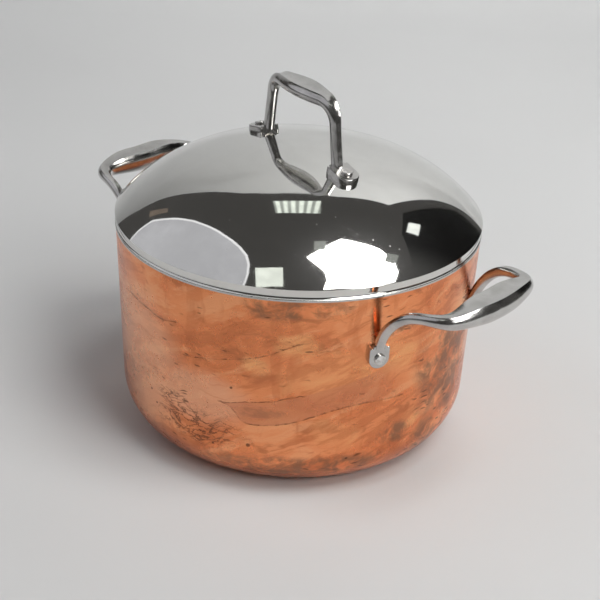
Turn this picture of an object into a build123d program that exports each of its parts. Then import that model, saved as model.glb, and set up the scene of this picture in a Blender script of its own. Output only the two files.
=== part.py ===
from build123d import *
import math
import os

# A lidded casserole: copper outside, bonded steel lining, cast steel handles.
# All sizes are millimetres. Origin at the middle of the base's underside, +Z up,
# +X through the middle of the right side handle.

# Pot body
POT_RADIUS = 130.0          # outer radius of the copper at its top edge
POT_HEIGHT = 155.0          # base underside to the top of the steel rim
WALL_TAPER = 3.2            # how much narrower the wall is just above the base corner
BASE_CORNER_RADIUS = 37.4   # outer round between base and wall
COPPER_THICKNESS = 1.6
LINING_THICKNESS = 0.8
RIM_HEIGHT = 1.6            # steel edge that shows above the copper
RIM_OVERHANG = 0.4          # how far that edge stands out over the copper
RIM_BEVEL = 0.4

# Lid sheet
LID_SHEET = 1.2
LID_RISE = 54.2             # top of the dome above the rim
CROWN_RADIUS = 260.0        # flatter middle of the dome
SHOULDER_RADIUS = 128.0     # rounder outer part of the dome
LID_CREASE_OVERHANG = 0.4   # lid's widest edge beyond the copper's radius
LID_BAND_HEIGHT = 6.9       # crease above the rim
LID_COVE_HEIGHT = 2.7       # hollow flare at the foot of the band
LID_COVE_DEPTH = 0.9        # how far the foot of the band is drawn in
LID_BAND_DRAW = 0.5         # how far the band has come in where the flare starts
LID_LIP_INSET = 0.3         # lip's edge inside the crease
LID_LIP_THICKNESS = 0.7
PLUG_DEPTH = 9.0            # skirt that drops inside the pot
PLUG_CLEARANCE = 0.8        # radial play between skirt and lining
LID_TURN = -13.5            # the lid's handle about Z, against the side handles

# Side handles
SIDE_RIVET_HEIGHT = 109.0
SIDE_HALF_SPREAD = 49.5     # half the distance between one handle's rivets
SIDE_REACH = 171.2          # axis to the middle line of the grip
SIDE_ROOT_UP = 8.0          # where the neck leaves its foot, above the rivet
SIDE_NECK_RISE = 15.0       # a point on the neck, above the rivet
SIDE_NECK_OUT = 4.2         # and out from the wall
SIDE_NECK_LEAN = 0.12       # outward lean of the neck where it leaves the foot, out per unit of rise
SIDE_KNEE_OUT = 26.4        # bend of the neck, out from the rivet
SIDE_KNEE_HALF = 50.0       # half width of the loop at that bend
SIDE_KNEE_RISE = 38.3       # bend above the rivets
SIDE_CORNER_BACK = 4.5      # grip's corner, short of the reach
SIDE_CORNER_HALF = 40.8
SIDE_CORNER_RISE = 40.8
SIDE_QUARTER_BACK = 0.5     # a point on the grip between corner and middle
SIDE_QUARTER_HALF = 24.9
SIDE_QUARTER_RISE = 41.4
SIDE_GRIP_RISE = 40.3       # grip's middle line above the rivets
SIDE_SWELL_FROM = 0.22      # share of the path from each foot where the grip starts to swell
SIDE_SWELL_TO = 0.46
SIDE_LEG_WIDTH = 7.4
SIDE_LEG_DEPTH = 7.0
SIDE_GRIP_WIDTH = 21.5
SIDE_GRIP_DEPTH = 16.5
SIDE_GRIP_FLAT = 0.70       # share of the grip's width that its dished top takes
SIDE_GRIP_DISH = 1.0
SIDE_STATIONS = 11          # sections along the loop

# Lid handle
TOP_RIVET_HALF_SPREAD = 54.0
TOP_LEG_SETBACK = 12.2      # leg root inboard of its rivet
TOP_GRIP_HEIGHT = 40.6      # middle line of the bar above the dome's crown
TOP_CORNER_RADIUS = 14.0    # bend of the bar's middle line at each corner
TOP_LEAN = 6.2              # how far each leg leans in on its way up
TOP_LEG_WIDTH = 7.6
TOP_LEG_DEPTH = 8.0
TOP_SWELL_FROM = 0.17
TOP_SWELL_TO = 0.50
TOP_GRIP_WIDTH = 21.5
TOP_GRIP_DEPTH = 10.8
TOP_GRIP_FLAT = 0.74
TOP_GRIP_DISH = 0.8
TOP_STATIONS = 21

# Both kinds of handle
LEG_FLAT = 0.5              # share of a leg's width that its flat takes
LEG_DISH = 0.2

# Feet of the handles
SIDE_PAD_THICKNESS = 3.4
SIDE_PAD_RADIUS = 7.3
SIDE_PAD_SHOULDER = 9.5     # rivet to the pad's square shoulder
TOP_PAD_THICKNESS = 4.2
TOP_PAD_RADIUS = 8.4
TOP_PAD_SHOULDER = 13.0
PAD_SHOULDER_ROUND = 2.4
PAD_EDGE = 0.6              # bevel round the pad's outer face
PAD_BURIED = 3.6            # depth below the pad's seat before it is cut to the curved sheet
PAD_SINK = 1.2              # how far each leg starts below its pad's outer face
NOTCH_RADIUS = 1.2
NOTCH_INSET = 1.5           # middle of a notch, in from the pad's side

# Rivets
SHANK_RADIUS = 2.0
SHANK_CLEARANCE = 0.05      # radial play of the shank in its holes
HEAD_RADIUS = 3.9
HEAD_HEIGHT = 1.9
HEAD_BEVEL = 0.8
INNER_HEAD_RADIUS = 4.8
INNER_HEAD_HEIGHT = 1.3
INNER_HEAD_GAP = 0.1        # flat head off the middle of the hollow sheet, which it touches at its edge

COPPER_TOP = POT_HEIGHT - RIM_HEIGHT
WALL_THICKNESS = COPPER_THICKNESS + LINING_THICKNESS
CREASE_RADIUS = POT_RADIUS + LID_CREASE_OVERHANG
WALL_LEAN = math.atan2(WALL_TAPER, COPPER_TOP - BASE_CORNER_RADIUS)
UP = Vector(0, 0, 1)


def spun(outline):
    """Solid of revolution about Z of a closed outline drawn as (radius, height)."""
    return revolve(Plane.XZ * make_face(outline), Axis.Z)


def wall_radius(height, inset=0.0):
    """Radius of the wall's surface at a height, for the surface set in from the copper's outside."""
    return POT_RADIUS - (COPPER_TOP - height) * math.tan(WALL_LEAN) - inset / math.cos(WALL_LEAN)


def vessel(inset, top):
    """Solid filling the vessel up to a height, its surface set in from the copper's outside."""
    corner_x = wall_radius(BASE_CORNER_RADIUS) - BASE_CORNER_RADIUS / math.cos(WALL_LEAN)
    corner = BASE_CORNER_RADIUS - inset

    def on_corner(angle):
        return (corner_x + corner * math.sin(angle), BASE_CORNER_RADIUS - corner * math.cos(angle))

    wall_foot_angle = math.pi / 2 - WALL_LEAN
    foot = on_corner(0)
    wall_foot = on_corner(wall_foot_angle)
    wall_top = (wall_radius(top, inset), top)
    return spun([
        Line((0, inset), foot),
        ThreePointArc(foot, on_corner(wall_foot_angle / 2), wall_foot),
        Line(wall_foot, wall_top),
        Line(wall_top, (0, top)),
        Line((0, top), (0, inset)),
    ])


def rim_edge():
    """The lining's edge, turned out over the copper's top and eased."""
    inner = wall_radius(COPPER_TOP, WALL_THICKNESS)
    outer = POT_RADIUS + RIM_OVERHANG
    ring = spun(Polyline((inner, COPPER_TOP), (outer, COPPER_TOP), (outer, POT_HEIGHT),
                         (inner, POT_HEIGHT), close=True).edges())
    outer_edges = ring.edges().sort_by(lambda e: e.bounding_box().size.X)[-2:]
    return chamfer(outer_edges, RIM_BEVEL)


def copper_shell():
    return vessel(0, COPPER_TOP) - vessel(COPPER_THICKNESS, COPPER_TOP)


def steel_lining():
    sheet = vessel(COPPER_THICKNESS, COPPER_TOP) - vessel(WALL_THICKNESS, COPPER_TOP)
    return sheet + rim_edge()


class Dome:
    """Two tangent arcs from the top of the lid to its crease, set in from the outside."""

    def __init__(self, inset=0.0, edge_radius=None):
        top = POT_HEIGHT + LID_RISE
        self.top = top - inset
        self.crown = CROWN_RADIUS - inset
        self.shoulder = SHOULDER_RADIUS - inset
        self.crown_z = top - CROWN_RADIUS
        crease_x = CREASE_RADIUS
        crease_z = POT_HEIGHT + LID_BAND_HEIGHT - self.crown_z
        reach = math.hypot(crease_x, crease_z)
        apart = CROWN_RADIUS - SHOULDER_RADIUS
        bend = (reach ** 2 + apart ** 2 - SHOULDER_RADIUS ** 2) / (2 * reach * apart)
        self.join = math.atan2(crease_x, crease_z) - math.acos(bend)
        self.shoulder_x = apart * math.sin(self.join)
        self.shoulder_z = self.crown_z + apart * math.cos(self.join)
        edge = CREASE_RADIUS if edge_radius is None else edge_radius
        self.end = math.asin((edge - self.shoulder_x) / self.shoulder)

    def at(self, angle):
        """Point (radius, height) where the surface slopes by an angle."""
        if angle <= self.join:
            return (self.crown * math.sin(angle), self.crown_z + self.crown * math.cos(angle))
        return (self.shoulder_x + self.shoulder * math.sin(angle),
                self.shoulder_z + self.shoulder * math.cos(angle))

    def slope(self, radius):
        """Slope of the surface at a radius in the crown."""
        return math.asin(radius / self.crown)

    def arcs(self):
        top, join, edge = self.at(0), self.at(self.join), self.at(self.end)
        return [
            ThreePointArc(top, self.at(self.join / 2), join),
            ThreePointArc(join, self.at((self.join + self.end) / 2), edge),
        ]


def lid_shell():
    """One spun sheet: dome, crease, upright band, flared lip, shelf and plug skirt."""
    outside = Dome()
    crease = outside.at(outside.end)
    cove_foot = POT_HEIGHT + LID_LIP_THICKNESS
    cove_top = (CREASE_RADIUS - LID_BAND_DRAW, cove_foot + LID_COVE_HEIGHT)
    cove_deep = (CREASE_RADIUS - LID_COVE_DEPTH, cove_foot + LID_COVE_HEIGHT / 2)
    lip_top = (CREASE_RADIUS - LID_LIP_INSET, cove_foot)
    lip_foot = (lip_top[0], POT_HEIGHT)
    skirt_radius = wall_radius(POT_HEIGHT, WALL_THICKNESS) - PLUG_CLEARANCE
    skirt_top = (skirt_radius, POT_HEIGHT)
    skirt_foot = (skirt_radius, POT_HEIGHT - PLUG_DEPTH)
    skirt_inner_foot = (skirt_radius - LID_SHEET, POT_HEIGHT - PLUG_DEPTH)
    shelf_inner = (skirt_radius - LID_SHEET, POT_HEIGHT + LID_SHEET)
    band_inner_radius = CREASE_RADIUS - LID_COVE_DEPTH - LID_SHEET
    shelf_outer = (band_inner_radius, POT_HEIGHT + LID_SHEET)
    inside = Dome(LID_SHEET, band_inner_radius)
    band_top = inside.at(inside.end)
    edges = outside.arcs()
    edges += [
        Line(crease, cove_top),
        ThreePointArc(cove_top, cove_deep, lip_top),
        Line(lip_top, lip_foot),
        Line(lip_foot, skirt_top),
        Line(skirt_top, skirt_foot),
        Line(skirt_foot, skirt_inner_foot),
        Line(skirt_inner_foot, shelf_inner),
        Line(shelf_inner, shelf_outer),
        Line(shelf_outer, band_top),
    ]
    edges += inside.arcs()
    edges.append(Line(inside.at(0), outside.at(0)))
    return spun(edges)


def bar_section(width, depth, flat_share, dish):
    """Closed section of a handle: an ellipse cut off by a dished flat, which looks along local +Y."""
    top = depth / 2
    cut = math.sqrt(1 - flat_share ** 2)
    centre = top * (1 - cut) / (1 + cut)
    corner = width / 2 * flat_share
    crease = math.degrees(math.acos(flat_share))
    flat = ThreePointArc((corner, top), (0, top - dish), (-corner, top))
    belly = EllipticalCenterArc((0, centre), width / 2, centre + top, 180 - crease,
                                arc_size=180 + 2 * crease)
    return make_face([flat, belly])


def swell(share):
    """Smooth step from 0 to 1."""
    share = max(0.0, min(1.0, share))
    return share * share * (3 - 2 * share)


def between(low, high, share):
    return low + (high - low) * share


def bar(path, facing, leg, grip, swell_from, swell_to, stations):
    """Loft along a path from foot to foot; the section swells from leg to grip towards the middle.

    leg and grip hold width, depth, share of the flat and its dish. facing gives, for a tangent,
    the way that the flat looks.
    """
    sections = []
    for i in range(stations):
        t = i / (stations - 1)
        share = swell((min(t, 1 - t) - swell_from) / (swell_to - swell_from))
        tangent = (path % t).normalized()
        place = Plane(origin=path @ t, x_dir=facing(tangent).cross(tangent), z_dir=tangent)
        sizes = [between(low, high, share) for low, high in zip(leg, grip)]
        sections.append(place * bar_section(*sizes))
    return loft(sections)


def pad_outline(radius, shoulder):
    """Shield shape round a rivet at the local origin, with its neck towards local +Y."""
    lobe = Circle(radius)
    block = Pos(0, shoulder / 2) * Rectangle(2 * radius, shoulder)
    upper = block.vertices().group_by(Axis.Y)[-1]
    return lobe + fillet(upper, PAD_SHOULDER_ROUND)


def pad(thickness, radius, shoulder):
    """Foot of a handle: plate on the local XY plane, reaching below it too, notched at the neck."""
    height = thickness + PAD_BURIED
    plate = extrude(Pos(0, 0, -PAD_BURIED) * pad_outline(radius, shoulder), height)
    plate = chamfer(plate.faces().sort_by(Axis.Z)[-1].edges(), PAD_EDGE)
    notch = Cylinder(NOTCH_RADIUS, 2 * height)
    for side in (-1, 1):
        plate -= Pos(side * (radius - NOTCH_INSET), shoulder) * notch
    return plate


def rivet(place, grip_length):
    """Rivet on a handle's foot: bevelled head above place, shank and flat head below it."""
    head = Pos(0, 0, HEAD_HEIGHT / 2) * Cylinder(HEAD_RADIUS, HEAD_HEIGHT)
    head = chamfer(head.edges().sort_by(Axis.Z)[-1], HEAD_BEVEL)
    shank_length = grip_length + INNER_HEAD_GAP
    shank = Pos(0, 0, -shank_length / 2) * Cylinder(SHANK_RADIUS, shank_length)
    inner_head = Cylinder(INNER_HEAD_RADIUS, INNER_HEAD_HEIGHT)
    inner_head = Pos(0, 0, -shank_length - INNER_HEAD_HEIGHT / 2) * inner_head
    return place * (head + shank + inner_head)


def save(name, shape):
    shape.label = name
    export_step(shape, f"parts/{name}.step")


def side_feet():
    """Planes on the wall at one handle's two rivets: local Z out of the wall, local Y up it."""
    radius = wall_radius(SIDE_RIVET_HEIGHT)
    angle = math.asin(SIDE_HALF_SPREAD / radius)
    planes = []
    for turn in (angle, -angle):
        out = Vector(math.cos(turn) * math.cos(WALL_LEAN), math.sin(turn) * math.cos(WALL_LEAN),
                     -math.sin(WALL_LEAN))
        spot = (radius * math.cos(turn), radius * math.sin(turn), SIDE_RIVET_HEIGHT)
        planes.append(Plane(origin=spot, x_dir=(-math.sin(turn), math.cos(turn), 0), z_dir=out))
    return planes


def both_ways(half):
    """A half path's points, then the same mirrored across Y = 0 and run back."""
    return half + [Vector(p.X, -p.Y, p.Z) for p in reversed(half[:-1])]


def side_handle(feet):
    """Cast loop: two feet, necks that rise and bend outwards, and a broad dished grip."""
    foot = feet[0]
    start = foot.origin
    root = foot.from_local_coords(Vector(0, SIDE_ROOT_UP, SIDE_PAD_THICKNESS - PAD_SINK))
    neck = foot.from_local_coords(Vector(0, SIDE_NECK_RISE, SIDE_NECK_OUT))
    knee = Vector(start.X + SIDE_KNEE_OUT, SIDE_KNEE_HALF, start.Z + SIDE_KNEE_RISE)
    corner = Vector(SIDE_REACH - SIDE_CORNER_BACK, SIDE_CORNER_HALF, start.Z + SIDE_CORNER_RISE)
    quarter = Vector(SIDE_REACH - SIDE_QUARTER_BACK, SIDE_QUARTER_HALF, start.Z + SIDE_QUARTER_RISE)
    middle = Vector(SIDE_REACH, 0, start.Z + SIDE_GRIP_RISE)
    rise = (foot.y_dir + foot.z_dir * SIDE_NECK_LEAN).normalized()
    tangents = [rise, Vector(-rise.X, rise.Y, -rise.Z)]
    path = Spline(both_ways([root, neck, knee, corner, quarter, middle]), tangents=tangents)

    def upwards(tangent):
        return (UP - tangent * UP.dot(tangent)).normalized()

    leg = (SIDE_LEG_WIDTH, SIDE_LEG_DEPTH, LEG_FLAT, LEG_DISH)
    grip = (SIDE_GRIP_WIDTH, SIDE_GRIP_DEPTH, SIDE_GRIP_FLAT, SIDE_GRIP_DISH)
    loop = bar(path, upwards, leg, grip, SIDE_SWELL_FROM, SIDE_SWELL_TO, SIDE_STATIONS)
    for place in feet:
        loop += place * pad(SIDE_PAD_THICKNESS, SIDE_PAD_RADIUS, SIDE_PAD_SHOULDER)
    loop -= vessel(0, COPPER_TOP)
    return loop


def lid_feet(dome):
    """Planes on the dome at the lid handle's two rivets: local Z out of it, local Y towards its middle."""
    slope = dome.slope(TOP_RIVET_HALF_SPREAD)
    radius, height = dome.at(slope)
    planes = []
    for side in (1, -1):
        planes.append(Plane(origin=(side * radius, 0, height), x_dir=(0, side, 0),
                            z_dir=(side * math.sin(slope), 0, math.cos(slope))))
    return planes


def lid_handle(dome, feet):
    """Cast arch: two feet, nearly upright legs and a dished bar."""
    foot = feet[0]
    root = foot.from_local_coords(Vector(0, TOP_LEG_SETBACK, TOP_PAD_THICKNESS - PAD_SINK))
    bar_z = dome.top + TOP_GRIP_HEIGHT
    elbow_x = root.X - TOP_LEAN
    path = FilletPolyline(root, (elbow_x, 0, bar_z), (-elbow_x, 0, bar_z), (-root.X, 0, root.Z),
                          radius=TOP_CORNER_RADIUS)

    def outwards(tangent):
        return Vector(0, 1, 0).cross(tangent)

    leg = (TOP_LEG_WIDTH, TOP_LEG_DEPTH, LEG_FLAT, LEG_DISH)
    grip = (TOP_GRIP_WIDTH, TOP_GRIP_DEPTH, TOP_GRIP_FLAT, TOP_GRIP_DISH)
    arch = bar(path, outwards, leg, grip, TOP_SWELL_FROM, TOP_SWELL_TO, TOP_STATIONS)
    for place in feet:
        arch += place * pad(TOP_PAD_THICKNESS, TOP_PAD_RADIUS, TOP_PAD_SHOULDER)
    full_dome = spun(dome.arcs() + [Line(dome.at(dome.end), (0, dome.at(dome.end)[1])),
                                    Line((0, dome.at(dome.end)[1]), dome.at(0))])
    return arch - full_dome


def rivet_holes(places, grip_length):
    """Clearance holes for the shanks, through the handle's foot and what it is riveted to."""
    hole = Cylinder(SHANK_RADIUS + SHANK_CLEARANCE, 4 * grip_length)
    return [place * hole for place in places]


def lifted(place, distance):
    return Plane(origin=place.origin + place.z_dir * distance, x_dir=place.x_dir, z_dir=place.z_dir)


def drilled(shape, holes):
    for hole in holes:
        shape = shape - hole
    return shape


def side_set(turn):
    """One side handle, its two rivets and its holes, turned about Z."""
    feet = side_feet()
    grip_length = SIDE_PAD_THICKNESS + WALL_THICKNESS
    holes = rivet_holes(feet, grip_length)
    handle = drilled(side_handle(feet), holes)
    rivets = [rivet(lifted(place, SIDE_PAD_THICKNESS), grip_length) for place in feet]
    spin = Rot(0, 0, turn)
    return spin * handle, [spin * r for r in rivets], [spin * h for h in holes]


def lid_set():
    """The lid's handle, its two rivets and its holes, turned about Z."""
    dome = Dome()
    feet = lid_feet(dome)
    grip_length = TOP_PAD_THICKNESS + LID_SHEET
    holes = rivet_holes(feet, grip_length)
    handle = drilled(lid_handle(dome, feet), holes)
    rivets = [rivet(lifted(place, TOP_PAD_THICKNESS), grip_length) for place in feet]
    spin = Rot(0, 0, LID_TURN)
    return spin * handle, [spin * r for r in rivets], [spin * h for h in holes]


os.makedirs("parts", exist_ok=True)
right_handle, right_rivets, right_holes = side_set(0)
left_handle, left_rivets, left_holes = side_set(180)
top_handle, top_rivets, top_holes = lid_set()
pot_holes = right_holes + left_holes

save("copper_shell", drilled(copper_shell(), pot_holes))
save("steel_lining", drilled(steel_lining(), pot_holes))
save("right_side_handle", right_handle)
save("left_side_handle", left_handle)
save("right_handle_rear_rivet", right_rivets[0])
save("right_handle_front_rivet", right_rivets[1])
save("left_handle_front_rivet", left_rivets[0])
save("left_handle_rear_rivet", left_rivets[1])
save("lid_shell", drilled(lid_shell(), top_holes))
save("lid_handle", top_handle)
save("lid_handle_right_rivet", top_rivets[0])
save("lid_handle_left_rivet", top_rivets[1])
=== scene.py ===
import math

import bpy
import numpy as np
from mathutils import Matrix, Vector


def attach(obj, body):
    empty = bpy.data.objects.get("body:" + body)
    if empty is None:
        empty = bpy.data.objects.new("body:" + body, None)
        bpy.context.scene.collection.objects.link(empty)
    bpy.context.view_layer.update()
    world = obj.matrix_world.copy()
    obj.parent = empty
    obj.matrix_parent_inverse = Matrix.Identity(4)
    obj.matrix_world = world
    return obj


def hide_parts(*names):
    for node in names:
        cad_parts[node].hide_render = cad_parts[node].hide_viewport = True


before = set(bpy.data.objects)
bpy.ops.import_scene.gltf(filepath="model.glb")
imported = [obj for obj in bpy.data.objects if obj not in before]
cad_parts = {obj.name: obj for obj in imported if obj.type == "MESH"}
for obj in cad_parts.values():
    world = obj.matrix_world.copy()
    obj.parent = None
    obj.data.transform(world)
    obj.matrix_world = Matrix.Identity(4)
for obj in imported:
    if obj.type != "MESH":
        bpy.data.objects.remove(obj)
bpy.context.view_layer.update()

# Lengths are in metres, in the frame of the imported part, where no comment says otherwise.
MM = 0.001

# Pot body
POT_RADIUS = 130 * MM
POT_HEIGHT = 155 * MM
WALL_TAPER = 3.2 * MM
BASE_CORNER_RADIUS = 37.4 * MM
COPPER_THICKNESS = 1.6 * MM
LINING_THICKNESS = 0.8 * MM
RIM_HEIGHT = 1.6 * MM
RIM_OVERHANG = 0.4 * MM
RIM_ROUND = 0.4 * MM

# Lid sheet
LID_SHEET = 1.2 * MM
LID_RISE = 54.2 * MM
CROWN_RADIUS = 260 * MM
SHOULDER_RADIUS = 128 * MM
LID_CREASE_OVERHANG = 0.4 * MM
LID_BAND_HEIGHT = 6.9 * MM
LID_BAND_DRAW = 0.5 * MM
LID_COVE_HEIGHT = 2.7 * MM
LID_COVE_DEPTH = 0.9 * MM
LID_COVE_CURVE = ((0.75 * MM, 0.8), (LID_COVE_DEPTH, 0.5), (0.75 * MM, 0.2))    # (depth, share of the height)
LID_CREASE_BREAK = (0.1 * MM, 0.25 * MM)
LID_LIP_INSET = 0.3 * MM
LID_LIP_THICKNESS = 0.7 * MM
LID_LIP_BREAK = 0.1 * MM
PLUG_DEPTH = 9 * MM
PLUG_CLEARANCE = 0.8 * MM
LID_TURN = math.radians(-13.5)

# Side handles. Knee, corner and quarter are points of the bar: how far out, off the middle and up from the
# rivet. The knee goes out from the rivet, and the other two come in from the reach. A swell is the shares of
# the bar between which it grows from leg to grip. A section is its width, depth, flat share and dish.
SIDE_RIVET_HEIGHT = 109 * MM
SIDE_HALF_SPREAD = 49.5 * MM
SIDE_REACH = 171.2 * MM
SIDE_ROOT_UP = 8 * MM
SIDE_NECK = (15 * MM, 4.2 * MM)
SIDE_NECK_LEAN = 0.12
SIDE_KNEE = (26.4 * MM, 50 * MM, 38.3 * MM)
SIDE_CORNER = (4.5 * MM, 40.8 * MM, 40.8 * MM)
SIDE_QUARTER = (0.5 * MM, 24.9 * MM, 41.4 * MM)
SIDE_GRIP_RISE = 40.3 * MM
SIDE_SWELL = (0.22, 0.46)
SIDE_LEG = (7.4 * MM, 7.0 * MM, 0.5, 0.2 * MM)
SIDE_GRIP = (21.5 * MM, 16.5 * MM, 0.70, 1.0 * MM)
SIDE_BAR = (SIDE_LEG, SIDE_GRIP, SIDE_SWELL)

# Lid handle
TOP_RIVET_HALF_SPREAD = 54 * MM
TOP_LEG_SETBACK = 12.2 * MM
TOP_GRIP_HEIGHT = 40.6 * MM
TOP_CORNER_RADIUS = 14 * MM
TOP_LEAN = 6.2 * MM
TOP_SWELL = (0.17, 0.50)
TOP_LEG = (7.6 * MM, 8.0 * MM, 0.5, 0.2 * MM)
TOP_GRIP = (21.5 * MM, 10.8 * MM, 0.74, 0.8 * MM)
TOP_BAR = (TOP_LEG, TOP_GRIP, TOP_SWELL)

# Feet and rivets. A foot is its thickness, its lobe's radius and the distance from rivet to shoulder.
SIDE_PAD = (3.4 * MM, 7.3 * MM, 9.5 * MM)
TOP_PAD = (4.2 * MM, 8.4 * MM, 13.0 * MM)
PAD_SHOULDER_ROUND = 2.4 * MM
PAD_EDGE = 0.6 * MM
PAD_ROUNDING = ((1, 0), (0.5, 0.16), (0.16, 0.5), (0, 1))    # shares of the edge: down from the top, and in
PAD_BURIED = 2.2 * MM
PAD_SINK = 1.2 * MM
NOTCH_RADIUS = 1.2 * MM
NOTCH_INSET = 1.5 * MM
NOTCH_LEAD = 0.4 * MM
HEAD_RADIUS = 3.9 * MM
HEAD_HEIGHT = 1.9 * MM
HEAD_BEVEL = 0.8 * MM
INNER_HEAD_RADIUS = 4.8 * MM
INNER_HEAD_HEIGHT = 1.3 * MM
INNER_HEAD_GAP = 0.1 * MM
SHANK_RADIUS = 2.0 * MM

# Fineness of the meshes: points along each part of an outline, or round it
SPUN_SEGMENTS = 288
LID_SEGMENTS = 360
RIVET_SEGMENTS = 48
FLOOR_SHARES = np.linspace(0.001, 0.96, 12)
CORNER_POINTS = 40
WALL_POINTS = 24
RIM_POINTS = 6
CROWN_POINTS = 40
SHOULDER_POINTS = 60
HEAD_POINTS = 8
BAR_ROWS = 181
SPLINE_STEPS = 8 * BAR_ROWS
ARCH_POINTS = 60
SECTION_POINTS = 72
LOBE_POINTS = 17
PAD_SIDE_POINTS = 5
NOTCH_POINTS = 9

# Where outlines start beside the axis: a rivet's radius, and a dome's angle in radians
AXIS_GAP = 0.00001
APEX_ANGLE = 0.0003

# Degrees beyond which an edge stays crisp
SPUN_CREASE_ANGLE = 25
CAST_CREASE_ANGLE = 32

# Photographer's side, with angles in radians
VIEW_AZIMUTH = math.radians(42)
VIEW_ELEVATION = 0.47794
VIEW_ROLL = 0.04252
VIEW_DISTANCE = 7.3967 * POT_RADIUS
LOOK_SIDE = 0.0257 * POT_RADIUS
LOOK_HEIGHT = 0.67544 * POT_RADIUS
FOCAL_SHARE = 1300 / 600    # focal length over the image's width
SENSOR_WIDTH = 36

COPPER_TOP = POT_HEIGHT - RIM_HEIGHT
WALL_THICKNESS = COPPER_THICKNESS + LINING_THICKNESS
CREASE_RADIUS = POT_RADIUS + LID_CREASE_OVERHANG
WALL_LEAN = math.atan2(WALL_TAPER, COPPER_TOP - BASE_CORNER_RADIUS)
AWAY = Vector((-math.sin(VIEW_AZIMUTH), math.cos(VIEW_AZIMUTH), 0))
SIDEWAYS = Vector((math.cos(VIEW_AZIMUTH), math.sin(VIEW_AZIMUTH), 0))
UP = Vector((0, 0, 1))


# Mesh helpers

def mesh_object(name, points, faces, material):
    mesh = bpy.data.meshes.new(name)
    mesh.from_pydata([tuple(p) for p in points], [], faces)
    mesh.materials.append(material)
    for polygon in mesh.polygons:
        polygon.use_smooth = True
    made = bpy.data.objects.new(name, mesh)
    bpy.context.scene.collection.objects.link(made)
    return made


def arc(centre, radius, start, end, count):
    """Points on an arc in the (radius, height) plane; angles run from straight up, clockwise."""
    angles = np.linspace(start, end, count)
    return [(centre[0] + radius * math.sin(a), centre[1] + radius * math.cos(a)) for a in angles]


def spun_points(outline, segments):
    points = []
    for r, z in outline:
        for i in range(segments):
            a = 2 * math.pi * i / segments
            points.append((r * math.cos(a), r * math.sin(a), z))
    return points


def grid_faces(rows, columns, closed_rows):
    """Quads between successive rings of columns points; closed_rows joins the last ring to the first."""
    faces = []
    for row in range(rows if closed_rows else rows - 1):
        low = row * columns
        high = (row + 1) % rows * columns
        for i in range(columns):
            j = (i + 1) % columns
            faces.append((low + i, low + j, high + j, high + i))
    return faces


def sharpen(made, degrees):
    """Keeps edges crisp where the surface turns by more than an angle."""
    made.data.shade_smooth()
    bpy.context.view_layer.objects.active = made
    made.select_set(True)
    bpy.ops.object.shade_smooth_by_angle(angle=math.radians(degrees))
    made.select_set(False)


def spun(name, outline, material, segments=SPUN_SEGMENTS):
    """Closed outline in (radius, height), spun about Z."""
    faces = grid_faces(len(outline), segments, True)
    made = mesh_object(name, spun_points(outline, segments), faces, material)
    made.data.validate()
    sharpen(made, SPUN_CREASE_ANGLE)
    return made


# Materials

NOISE_MIDDLE = 0.5
PATCH_CORE = 0.55              # shares of a patch's half size, between which it fades
PATCH_RIM = 1.15
STROKE_FADE = 2                # degrees

# Copper; depths are those of its relief
WARP = 0.022                   # metres that a whole step of the drift noise moves the pattern
WIPE_SLOPE = math.radians(24)
COPPER_BROWN = (0.60, 0.19, 0.08)
COPPER_PLAIN = (0.85, 0.285, 0.12)
COPPER_WARM = (0.93, 0.345, 0.15)
COPPER_BRIGHT = (0.98, 0.44, 0.215)
# Colour of a painted highlight, where the wall catches the light from the front right
COPPER_PAINTED_HIGHLIGHT = (1.0, 0.47, 0.205)
# Colour of a painted reflection, where the wall mirrors the light on its left
COPPER_PALE_REFLECTION = (0.90, 0.50, 0.32)
COPPER_DARK = (0.44, 0.15, 0.07)
COPPER_TARNISH = (0.30, 0.15, 0.09)
COPPER_BAND = (0.66, 0.25, 0.13)
COPPER_LINE = (0.20, 0.075, 0.04)
COPPER_PIT = (0.10, 0.045, 0.03)
BRUSHING_DEPTH = 0.00006
CLOUD_DEPTH = 0.0012
GRAIN_DEPTH = 0.00012
HOLLOW_DEPTH = 0.0004
COPPER_CLOUDS = ((0.28, COPPER_BROWN), (0.44, COPPER_PLAIN), (0.58, COPPER_WARM), (0.74, COPPER_BRIGHT))

# Places on the copper, as (degrees about Z, height in millimetres), with half sizes in the same measures
# Painted highlight: bright patches where the copper catches the light from the front right
PAINTED_HIGHLIGHT_PATCHES = (((-37, 97), (15, 17)), ((-34, 54), (8, 13)), ((-16, 108), (8, 14)), ((-47, 121), (8, 10)),
                 ((13, 126), (5, 15)), ((-58, 103), (5, 8)), ((-8, 52), (4, 9)))
TARNISH_PATCHES = (((9, 78), (17, 42)), ((-47, 147), (16, 9)), ((2, 30), (9, 18)), ((-48, 25), (32, 10)),
                   ((-16, 128), (7, 7)), ((-14, 44), (6, 10)), ((-57, 68), (8, 5)), ((120, 90), (24, 30)),
                   ((165, 60), (18, 22)))
CRINKLE_PATCHES = (((-78, 46), (16, 15)), ((-88, 60), (7, 7)), ((150, 40), (14, 11)))
BAND_TOP = ((-69, 71), (-61.6, 74.7), (-54, 77.4), (-45, 82.6), (-36.6, 88.5), (-30.6, 91.5), (-22.8, 97.1),
            (-14.5, 104.1))
BAND_FOOT = ((-69, 71), (-64.7, 65.3), (-60.9, 58), (-53.9, 59), (-49.4, 60.9), (-42, 66.1), (-34.6, 71.5),
             (-26.9, 73.9), (-13, 73.2))
BAND_END = -26
BAND_FADE = 16
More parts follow.
